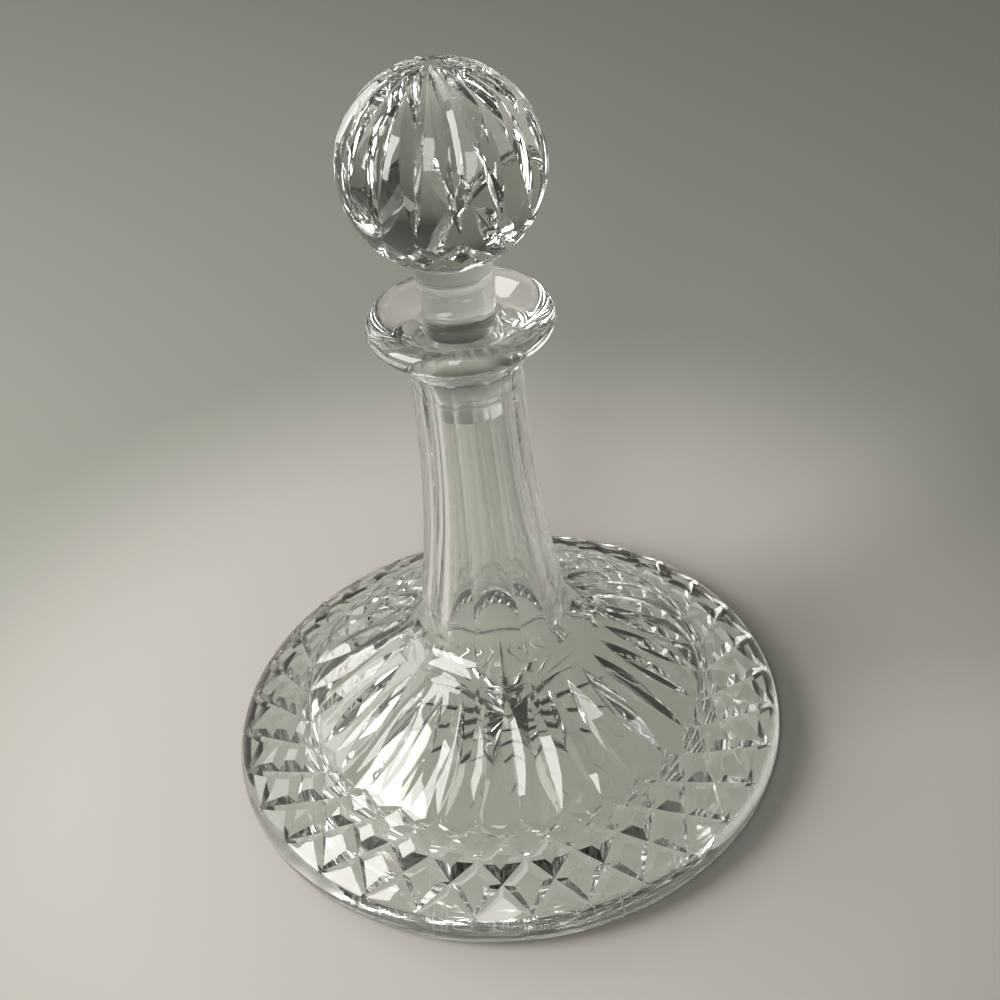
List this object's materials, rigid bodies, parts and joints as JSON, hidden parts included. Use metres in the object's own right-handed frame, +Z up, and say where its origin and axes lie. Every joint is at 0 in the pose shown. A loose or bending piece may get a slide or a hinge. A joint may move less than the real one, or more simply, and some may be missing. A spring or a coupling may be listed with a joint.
{
  "type": "ships decanter",
  "caption": "Wide-based cut-glass ship's decanter with a panelled neck, a flared lip and a ball stopper that lifts out of its ground seat.",
  "frame": {"origin": "middle of the base, on the surface that the decanter stands on", "axes": "+Z up the neck; -Y towards the front, where a neck panel and a point of the diamond band face"},
  "size_m": [0.2, 0.2, 0.26],
  "materials": {
    "body_crystal": "cut and polished crystal",
    "stopper_crystal": "cut and polished crystal, ground plug"
  },
  "bodies": {
    "decanter": {"decanter_body": "body_crystal"},
    "stopper": {"stopper": "stopper_crystal"}
  },
  "joints": [
    {"name": "stopper_lift", "type": "slide", "parent": "decanter", "child": "stopper", "axis": [0, 0, 1], "range_m": [0, 0.09]}
  ]
}
